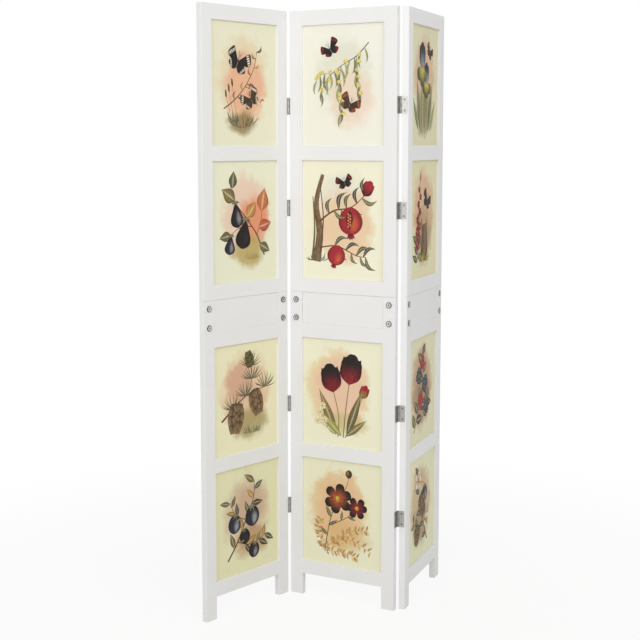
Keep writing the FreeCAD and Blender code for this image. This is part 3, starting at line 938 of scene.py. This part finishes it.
def draw_left_1(d):
    """Butterflies over an arching twig and a tuft of grass."""
    main = d.twig([(-84, -72), (-40, -46), (6, -6), (44, 50), (56, 98)], 4.2, 1.6)
    side = d.twig([(6, -6), (34, -18), (72, -52)], 2.6, 1.2)
    d.leaf_row(main, 0.25, 0.98, 8, (26, 7), ("olive", "umber", "ochre"), 42, "sickle")
    d.leaf_row(side, 0.3, 0.95, 5, (22, 6), ("twig", "rust", "olive"), 40, "sickle")
    d.butterfly((-26, 62), 116, 24, "soot", "bone", 1.0, 0.86)
    d.butterfly((30, -44), 92, -32, "umber", "bone", 0.9, 1.0)
    d.tuft((-8, -128), 110, 34, 52, ("moss", "olive", "umber", "ochre"))
    for x, z in ((-62, -18), (-48, -2), (-74, -34)):
        d.twig([(x + 26, -122), (x + 12, -70), (x, z)], 1.5, 1.0, "umber", "olive")
        d.lay("fruit", "berry", (x, z - 6), (24, 7), -6, "umber", "ochre")


def draw_left_2(d):
    """A fig branch with dark fruit and broad leaves turning orange."""
    d.twig([(84, -104), (52, -42), (8, 8), (-38, 56), (-60, 108)], 6.0, 2.2)
    d.twig([(30, -16), (-20, -18), (-62, -40)], 3.4, 1.6)
    d.twig([(52, -42), (70, 0), (74, 34)], 3.0, 1.4)
    for at, size, turn, tint, second in (
        ((-40, 62), (66, 44), -58, "olive", "ochre"),
        ((-52, 98), (52, 34), 8, "moss", "olive"),
        ((72, 28), (70, 50), 12, "rust", "ochre"),
        ((60, -20), (56, 38), 76, "rust", "crimson"),
        ((10, 12), (58, 40), 42, "ochre", "rust"),
        ((64, -70), (50, 32), 118, "olive", "moss"),
        ((-58, -38), (50, 30), -100, "olive", "umber"),
    ):
        d.lay("leaves", "blade", at, size, turn, tint, second)
    d.hanging((6, 10), (92, 62), 192, "soot", "plum", "pear")
    d.hanging((-40, 60), (78, 52), 172, "soot", "mist", "pear")
    d.hanging((-58, -36), (60, 42), 188, "plum", "mist", "pear")
    d.tuft((34, -116), 70, 14, 26, ("olive", "ochre"))


def draw_left_3(d):
    """Two dark cones on a pine twig."""
    main = d.twig([(-104, -62), (-48, -26), (8, 6), (92, 22)], 7.5, 2.6, "umber", "twig")
    up = d.twig([(8, 6), (26, 52), (20, 96)], 3.6, 1.6, "umber", "twig")
    for line, shares in ((main, (0.3, 0.62, 0.98)), (up, (0.5, 0.98))):
        for share in shares:
            at = line[int(share * (len(line) - 1))]
            for lean in range(-75, 90, 15):
                turn = lean + d.chance.uniform(-6, 6)
                d.lay("leaves", "sickle", at, (50, 3.2), turn, "moss", "olive", flip=lean < 0)
    d.cone((-40, -20), (84, 52), 186)
    d.cone((34, 12), (74, 46), 162)
    d.cone((20, 92), (46, 30), -14, "olive")
    d.tuft((26, -116), 84, 18, 30, ("moss", "olive", "umber"))


def draw_left_4(d):
    """Blue-black plums and weathered leaves."""
    main = d.twig([(-82, -118), (-40, -66), (-4, -4), (30, 58), (34, 112)], 7.0, 2.4)
    low = d.twig([(-40, -66), (24, -86), (84, -64)], 4.2, 1.8)
    high = d.twig([(-4, -4), (-46, 18), (-74, 62)], 3.2, 1.4)
    tints = ("olive", "umber", "ochre", "moss")
    d.leaf_row(main, 0.2, 0.98, 9, (48, 19), tints, 52)
    d.leaf_row(low, 0.2, 0.98, 8, (42, 17), tints, 48)
    d.leaf_row(high, 0.3, 0.98, 5, (40, 15), tints, 46)
    d.hanging((-50, 22), (60, 54), 184, "plum", "mist")
    d.hanging((22, 36), (66, 60), 176, "plum", "mist")
    d.hanging((36, -80), (50, 46), 190, "soot", "mist")
    d.hanging((-14, -30), (50, 44), 168, "soot", "plum")


def draw_middle_1(d):
    """A drooping spray with yellow flower balls, and two dark moths."""
    main = d.twig([(84, 122), (44, 84), (-8, 56), (-56, 18), (-76, -26)], 3.6, 1.3)
    one = d.twig([(44, 84), (44, 34), (56, -26)], 2.2, 1.0)
    two = d.twig([(-8, 56), (-14, -10), (-2, -84)], 2.4, 1.0)
    three = d.twig([(-40, 32), (-72, 34), (-92, 14)], 1.6, 0.9)
    tints = ("willow", "olive", "moss", "willow")
    for line, count in ((main, 11), (one, 7), (two, 8), (three, 4)):
        d.leaf_row(line, 0.12, 0.98, count, (50, 6.5), tints, 0, "sickle", 180)
        for share in (0.2, 0.42, 0.6, 0.78, 0.95):
            x, z = line[int(share * (len(line) - 1))]
            x += d.chance.uniform(-9, 9)
            z += d.chance.uniform(-7, 7)
            d.cluster((x, z), 4.5, 6, 6.5, "yellow", "bone")
    d.butterfly((-44, 104), 78, -34, "soot", "crimson", 1.0, 0.84)
    d.butterfly((22, -58), 82, 28, "umber", "rust", 0.9, 1.0)


def draw_middle_2(d):
    """Pomegranates beside an old trunk."""
    d.twig([(-92, -126), (-80, -40), (-92, 50), (-70, 136)], 34, 13, "umber", "bark")
    d.twig([(-106, -124), (-98, -30), (-104, 70)], 9, 3, "moss", "olive")
    d.twig([(-80, -100), (-68, 0), (-78, 100)], 6, 3, "twig", "umber")
    d.tuft((-88, -128), 84, 18, 30, ("moss", "olive", "umber"))
    main = d.twig([(-82, -6), (-32, 28), (28, 40), (82, 84)], 7, 2.2, "umber", "twig")
    low = d.twig([(-80, -84), (-20, -78), (44, -104), (78, -108)], 5, 1.8, "umber", "twig")
    tints = ("moss", "olive", "soot", "olive")
    d.leaf_row(main, 0.25, 0.98, 9, (52, 13), tints, 46, "sickle")
    d.leaf_row(low, 0.3, 0.98, 8, (46, 11), tints, 40, "sickle")
    for at, size, turn in (((24, 40), (84, 80), 178), ((-14, -76), (62, 60), 196)):
        d.lay("fruit", "fruit", at, size, turn, "crimson", "rust", lift=0.1)
        lean = math.radians(turn)
        end = (at[0] + size[0] * 0.95 * math.sin(lean), at[1] + size[0] * 0.95 * math.cos(lean))
        for side in (-42, -14, 14, 42):
            crown = (size[0] * 0.24, size[0] * 0.11)
            d.lay("blooms", "leaf", end, crown, turn + side, "crimson", "soot", lift=0.5)
    d.lay("fruit", "blade", (23, 29), (58, 22), 182, "soot", "umber", lift=0.5)
    for number in range(9):
        seed = (22 + (3.4 if number % 2 else -3.4), 14 - 4.6 * number)
        d.lay("fruit", "berry", seed, (8, 7), 0, "rust", "bone", lift=0.7)
    d.cup((70, 74), (50, 40), 30, "crimson", "soot")
    d.butterfly((6, 112), 66, -18, "soot", "crimson", 0.9, 1.0)


def draw_middle_3(d):
    """A pair of dark tulips and a bud."""
    d.twig([(-16, -136), (-14, -70), (-32, 4)], 4.2, 3.2, "olive", "willow")
    d.twig([(2, -136), (10, -54), (22, 32)], 4.2, 3.2, "olive", "willow")
    d.twig([(8, -136), (44, -70), (66, -8)], 3.2, 2.4, "olive", "willow")
    for at, size, turn, tint in (
        ((-22, -128), (150, 30), -24, "olive"),
        ((14, -128), (150, 28), 20, "moss"),
        ((-4, -132), (104, 24), -46, "willow"),
        ((10, -132), (92, 22), 52, "olive"),
    ):
        d.lay("leaves", "blade", at, size, turn, tint, "ochre", flip=turn < 0)
    d.cup((-33, 2), (88, 72), -10, "soot", "crimson")
    d.cup((22, 30), (94, 76), 8, "soot", "crimson")
    d.cup((66, -10), (44, 30), 20, "crimson", "willow")
    for x, z in ((-78, -64), (-64, -88), (-88, -92), (-70, -44)):
        d.twig([(-24, -130), (-50, -112), (x, z)], 1.4, 1.0, "olive", "willow")
        d.blossom((x, z), 24, 6, 0, "bone", "yellow")


def draw_middle_4(d):
    """Dark poppies over golden fern fronds."""
    main = d.twig([(-62, -128), (-44, -30), (-16, 40)], 3.4, 2.4, "umber", "olive")
    side = d.twig([(-46, -44), (12, -14), (50, 20)], 3.0, 2.0, "umber", "olive")
    d.twig([(-30, 20), (10, 76), (22, 116)], 2.4, 1.6, "umber", "olive")
    gold = ("ochre", "rust", "ochre", "yellow")
    for frond in (
        [(-70, -124), (-14, -88), (40, -84), (100, -112)],
        [(-60, -126), (0, -124), (54, -134)],
        [(-64, -120), (-84, -70), (-78, -24)],
        [(-40, -100), (24, -56), (88, -44)],
    ):
        line = d.twig(frond, 1.8, 0.9, "ochre", "rust")
        d.leaf_row(line, 0.08, 0.98, 20, (19, 6.5), gold, 62)
    d.blossom((-16, 44), 96, 6, 10, "soot", "rust")
    d.blossom((50, 22), 70, 6, 32, "soot", "crimson")
    d.lay("fruit", "fruit", (22, 112), (26, 22), 0, "umber", "ochre", lift=0.2)
    d.leaf_row(main, 0.3, 0.8, 4, (40, 12), ("olive", "moss"), 50)
    d.leaf_row(side, 0.4, 0.8, 3, (34, 10), ("olive", "moss"), 50)


def draw_right_1(d):
    """Tall irises among blue-green blades."""
    for points in ([(-24, -140), (-30, -40), (-22, 50)], [(20, -140), (26, -60), (20, 6)]):
        d.twig(points, 4.2, 3.0, "moss", "olive")
    for at, size, turn, tint in (
        ((-40, -136), (170, 22), -12, "moss"), ((0, -138), (190, 20), 4, "olive"),
        ((36, -136), (160, 22), 16, "moss"), ((58, -132), (110, 18), 30, "willow"),
        ((-60, -132), (110, 18), -28, "olive"),
    ):
        d.lay("leaves", "blade", at, size, turn, tint, "willow", flip=turn < 0)
    for at, size in (((-22, 52), 1.0), ((20, 8), 0.82)):
        d.cup(at, (78 * size, 60 * size), 0, "plum", "mist")
        for turn in (-118, 118, 180):
            falls = (54 * size, 40 * size)
            d.lay("blooms", "broad_petal", at, falls, turn, "moss", "yellow", lift=0.5)
    d.butterfly((50, 104), 74, 30, "soot", "rust", 1.0, 0.85)


def draw_right_2(d):
    """A crimson flower spike beside a mossy stump."""
    d.twig([(10, -128), (15, -70), (10, -16)], 84, 62, "umber", "bark")
    d.twig([(-20, -128), (-9, -60), (-16, 2)], 16, 6, "soot", "umber")
    d.twig([(40, -128), (36, -60), (34, -4)], 14, 5, "twig", "umber")
    d.twig([(8, -120), (12, -70), (10, -24)], 10, 4, "soot", "umber")
    spike = d.twig([(-56, -128), (-48, -20), (-30, 120)], 4, 2, "olive", "moss")
    for number in range(9):
        x, z = spike[int((0.34 + 0.07 * number) * (len(spike) - 1))]
        x += 8 if number % 2 else -8
        d.blossom((x, z), 44 - 3 * number, 5, 20 * number, "crimson", "soot")
    d.lay("leaves", "leaf", (-30, 112), (34, 12), 4, "crimson", "rust")
    d.leaf_row(spike, 0.05, 0.35, 5, (52, 22), ("moss", "olive"), 60)
    d.butterfly((36, 52), 88, 26, "soot", "umber", 0.9, 1.0)
    d.tuft((6, -134), 120, 26, 36, ("willow", "moss", "yellow"))


def draw_right_3(d):
    """A bramble cane with dark berries."""
    main = d.twig([(-76, -128), (-30, -60), (10, 20), (6, 116)], 6, 2.2, "twig", "umber")
    side = d.twig([(-30, -60), (30, -70), (70, -40)], 3.6, 1.6, "twig", "umber")
    tints = ("olive", "umber", "moss", "twig")
    d.leaf_row(main, 0.12, 0.98, 10, (54, 30), tints, 60, "blade")
    d.leaf_row(side, 0.3, 0.98, 5, (46, 26), tints, 54, "blade")
    for at, spread, tint in (
        ((-28, 44), 24, "soot"), ((32, 10), 27, "plum"), ((6, 82), 19, "crimson"),
        ((52, -62), 22, "soot"), ((-10, -34), 22, "crimson"),
    ):
        d.cluster(at, spread, 26, 14, tint, "mist" if tint != "crimson" else "rust")


def draw_right_4(d):
    """Pale blossoms, dark buds and cones."""
    main = d.twig([(70, -124), (30, -60), (-8, 16), (-20, 110)], 7, 2.4, "umber", "twig")
    side = d.twig([(30, -60), (-30, -66), (-74, -36)], 4, 1.8, "umber", "twig")
    tints = ("moss", "olive", "umber")
    d.leaf_row(main, 0.15, 0.98, 9, (46, 18), tints, 52)
    d.leaf_row(side, 0.3, 0.98, 6, (40, 16), tints, 50)
    d.cone((-2, 28), (74, 48), 150)
    d.cone((-28, -60), (60, 42), 196)
    d.blossom((-26, 86), 60, 5, 12, "bone", "rust")
    d.blossom((62, -62), 50, 5, 40, "bone", "rust")
    d.twig([(44, -84), (52, -76), (60, -64)], 2.4, 1.6, "umber", "twig")
    d.hanging((40, 60), (56, 50), 176, "plum", "mist")
    d.twig([(-14, 70), (16, 74), (40, 62)], 2.6, 1.8, "umber", "twig")


# Each picture: how it is drawn, its film's ground, and the washes of colour on that. A wash is
# its centre and reach as shares of the film, its colour, strength and softness.

PICTURES = {
    ("left", 1): (
        draw_left_1,
        "#eeebd0",
        ((0.0, 0.03), (0.43, 0.41), "#ead9b6", 0.9, 0.3),
        ((0.02, -0.02), (0.36, 0.33), "#ebb492", 0.9, 0.4),
        ((-0.02, -0.31), (0.27, 0.12), "#8f7a48", 0.85, 0.55),
    ),
    ("left", 2): (
        draw_left_2,
        "#efefd4",
        ((0.02, 0.04), (0.42, 0.42), "#ebcfb8", 0.9, 0.35),
        ((0.14, 0.02), (0.28, 0.24), "#e78d62", 0.85, 0.5),
        ((0.06, -0.24), (0.32, 0.18), "#b9a455", 0.8, 0.5),
    ),
    ("left", 3): (
        draw_left_3,
        "#f2eec9",
        ((0.0, 0.04), (0.42, 0.41), "#e8c6a2", 0.9, 0.35),
        ((-0.1, 0.14), (0.24, 0.24), "#c98d78", 0.5, 0.5),
        ((0.06, -0.24), (0.34, 0.18), "#a39459", 0.75, 0.5),
    ),
    ("left", 4): (
        draw_left_4,
        "#eae8bf",
        ((0.0, 0.04), (0.42, 0.41), "#dbc9a8", 0.9, 0.35),
        ((0.05, 0.1), (0.3, 0.28), "#c79f86", 0.6, 0.5),
        ((0.08, -0.22), (0.32, 0.2), "#b58a5c", 0.7, 0.5),
    ),
    ("middle", 1): (
        draw_middle_1,
        "#f2f1e3",
        ((0.0, 0.06), (0.42, 0.4), "#e0dfcb", 0.75, 0.45),
        ((0.1, -0.12), (0.34, 0.3), "#eed4bd", 0.75, 0.55),
    ),
    ("middle", 2): (
        draw_middle_2,
        "#f4f1d8",
        ((0.0, 0.12), (0.4, 0.34), "#e4e2d0", 0.75, 0.45),
        ((0.02, -0.05), (0.42, 0.36), "#ebcba5", 0.9, 0.4),
    ),
    ("middle", 3): (
        draw_middle_3,
        "#f2f0d4",
        ((-0.06, 0.03), (0.42, 0.42), "#e9d3a2", 0.85, 0.25),
        ((-0.04, 0.04), (0.37, 0.38), "#ecc5ab", 0.9, 0.4),
        ((0.04, -0.28), (0.32, 0.13), "#c9b97c", 0.6, 0.5),
    ),
    ("middle", 4): (
        draw_middle_4,
        "#efedcf",
        ((-0.05, 0.03), (0.42, 0.42), "#e6cd9c", 0.85, 0.3),
        ((-0.04, 0.05), (0.36, 0.36), "#e7bd92", 0.85, 0.4),
        ((0.02, -0.22), (0.38, 0.2), "#d9b473", 0.6, 0.5),
    ),
    ("right", 1): (
        draw_right_1,
        "#e9e3c0",
        ((0.0, 0.04), (0.42, 0.42), "#dfbc99", 0.9, 0.35),
        ((0.0, -0.22), (0.4, 0.24), "#8c8c55", 0.75, 0.5),
    ),
    ("right", 2): (
        draw_right_2,
        "#ebe6be",
        ((0.0, 0.08), (0.42, 0.38), "#e0b893", 0.9, 0.35),
        ((0.0, -0.14), (0.4, 0.3), "#b49a72", 0.8, 0.5),
    ),
    ("right", 3): (
        draw_right_3,
        "#ebe7c4",
        ((0.0, 0.04), (0.42, 0.42), "#c9a583", 0.9, 0.35),
        ((0.0, -0.1), (0.38, 0.32), "#a58564", 0.75, 0.5),
    ),
    ("right", 4): (
        draw_right_4,
        "#eeedca",
        ((0.0, 0.05), (0.42, 0.4), "#d2b592", 0.9, 0.35),
        ((0.0, -0.17), (0.38, 0.26), "#a08b62", 0.75, 0.5),
    ),
}


class DIVIDER_OT_drawings(bpy.types.Operator):
    """Draws a generic plant or insect subject in each of the twelve pictures"""

    bl_idname = "divider.drawings"
    bl_label = "Draw Pictures"

    def execute(self, context):
        inks = {
            "twigs": twig_ink(),
            "leaves": leaf_ink(),
            "blooms": bloom_ink(),
            "fruit": fruit_ink(),
            "wings": wing_ink(),
        }
        masters = {
            name: drawn_shape(name, OUTLINES[outline], columns, steps)
            for name, (outline, columns, steps) in SHAPES.items()
        }
        for (panel, number), (draw, *_) in PICTURES.items():
            drawing = Drawing(panel, number, masters)
            draw(drawing)
            drawing.finish(inks)
        for master in masters.values():
            bpy.data.objects.remove(master)
        return {"FINISHED"}


# Stage


FLOOR_RADIUS = 14
CAMERA_PLACE = (1.9271, -3.4909, 1.4096)
CAMERA_PITCH = -6.9
CAMERA_TURN = 29.5
CAMERA_FOCUS_PIXELS = 1324
IMAGE_PIXELS = 640
SENSOR_WIDTH = 36
CAMERA_DROP_PIXELS = 17.3


def add_lamp(name, place, target, width, power, colour):
    """A square soft lamp aimed at a point."""
    deselect()
    bpy.ops.object.light_add(type="AREA", location=place)
    lamp = bpy.context.object
    lamp.name = name
    lamp.rotation_euler = (Vector(target) - Vector(place)).to_track_quat("-Z", "Y").to_euler()
    lamp.data.shape = "SQUARE"
    lamp.data.size = width
    lamp.data.energy = power
    lamp.data.color = colour


def seen_share(add):
    """One for what the eye meets straight, in a reflection or through glass, nought for light."""
    rays = add("LightPath").outputs
    seen = {0: rays["Is Camera Ray"], 1: rays["Is Glossy Ray"]}
    either = add("Math", seen, operation="MAXIMUM")
    return add("Math", {0: either, 1: rays["Is Transmission Ray"]}, operation="MAXIMUM")


def pale_floor():
    """Smooth pale studio floor that melts into the white background but keeps a soft shadow."""
    material, add = new_material("pale_studio_floor")
    place = add("TexCoord").outputs["Object"]
    grain = add("TexNoise", {"Vector": place, "Scale": 1 / FLOOR_GRAIN, "Detail": 3.0})
    pale, dusty = opaque(linear("#e2e1df")), opaque(linear("#dcdbd9"))
    tone = add("Mix", {MIX_SHARE: grain, MIX_FIRST: pale, MIX_SECOND: dusty}, data_type="RGBA")
    matt = add("BsdfDiffuse", {"Color": tone})
    distance = add("VectorMath", {0: place}, operation="LENGTH")
    outwards = {"From Min": 0.5, "From Max": 2.2, "To Min": 0.88, "To Max": 1.0}
    fade = add("MapRange", {"Value": distance, **outwards}, interpolation_type="SMOOTHSTEP")
    share = add("Math", {0: fade, 1: seen_share(add)}, operation="MULTIPLY")
    white = add("Emission", {"Color": WHITE, "Strength": 1.0})
    add("OutputMaterial", {"Surface": add("MixShader", {0: share, 1: matt, 2: white})})
    return material


def studio_world():
    """White to the eye and in reflections, a plainer grey light on the object."""
    world = bpy.data.worlds.new("studio")
    world.use_nodes = True
    world.node_tree.nodes.clear()
    add = partial(add_node, world.node_tree)
    seen = seen_share(add)
    light = add("Background", {"Color": WHITE, "Strength": WORLD_LIGHT})
    white = add("Background", {"Color": WHITE, "Strength": 1.0})
    add("OutputWorld", {"Surface": add("MixShader", {0: seen, 1: light, 2: white})})
    return world


class DIVIDER_OT_stage(bpy.types.Operator):
    """Sets up the pale floor, the soft lamps, the white surroundings and the camera"""

    bl_idname = "divider.stage"
    bl_label = "Set Stage"

    def execute(self, context):
        deselect()
        bpy.ops.mesh.primitive_circle_add(vertices=64, radius=FLOOR_RADIUS, fill_type="NGON")
        floor = context.object
        floor.name = "studio_floor"
        dress(floor, pale_floor())

        add_lamp("key_lamp", (0.4, -3.4, 2.3), (0, 0, 1.1), 2.4, 42, (1, 1, 1))
        add_lamp("side_lamp", (2.7, -1.6, 3.0), (0, 0, 1.5), 2.0, 34, (1, 0.99, 0.975))
        add_lamp("back_lamp", (-2.2, 2.8, 2.2), (0, 0, 1.0), 2.4, 28, (1, 1, 1))
        context.scene.world = studio_world()

        bpy.ops.object.camera_add(
            location=CAMERA_PLACE,
            rotation=(math.radians(90 + CAMERA_PITCH), 0, math.radians(CAMERA_TURN)),
        )
        camera = context.object
        camera.data.sensor_width = SENSOR_WIDTH
        camera.data.lens = CAMERA_FOCUS_PIXELS * SENSOR_WIDTH / IMAGE_PIXELS
        camera.data.shift_y = -CAMERA_DROP_PIXELS / IMAGE_PIXELS
        context.scene.camera = camera
        context.scene.view_settings.view_transform = "Standard"
        return {"FINISHED"}


STEPS = (
    DIVIDER_OT_stage,
    DIVIDER_OT_frame_paint,
    DIVIDER_OT_splice_fittings,
    DIVIDER_OT_hinges,
    DIVIDER_OT_prints,
    DIVIDER_OT_drawings,
)


class DIVIDER_PT_panel(bpy.types.Panel):
    """Lists the steps that finish the divider"""

    bl_idname = "DIVIDER_PT_panel"
    bl_label = "Folding Room Divider"
    bl_space_type = "VIEW_3D"
    bl_region_type = "UI"
    bl_category = "Divider"

    def draw(self, context):
        for step in STEPS:
            self.layout.operator(step.bl_idname)
        for group in (context.scene.divider_sizes, context.scene.divider_colours):
            for name in group.__annotations__:
                self.layout.prop(group, name)


CLASSES = (DividerSizes, DividerColours, *STEPS, DIVIDER_PT_panel)


def register():
    for item in CLASSES:
        bpy.utils.register_class(item)
    bpy.types.Scene.divider_sizes = PointerProperty(type=DividerSizes)
    bpy.types.Scene.divider_colours = PointerProperty(type=DividerColours)


def unregister():
    del bpy.types.Scene.divider_colours
    del bpy.types.Scene.divider_sizes
    for item in reversed(CLASSES):
        bpy.utils.unregister_class(item)


def main():
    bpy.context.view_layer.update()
    register()
    bpy.ops.divider.stage()
    bpy.ops.divider.frame_paint()
    bpy.ops.divider.splice_fittings()
    bpy.ops.divider.hinges()
    bpy.ops.divider.prints()
    bpy.ops.divider.drawings()
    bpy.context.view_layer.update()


if __name__ == "__main__":
    main()
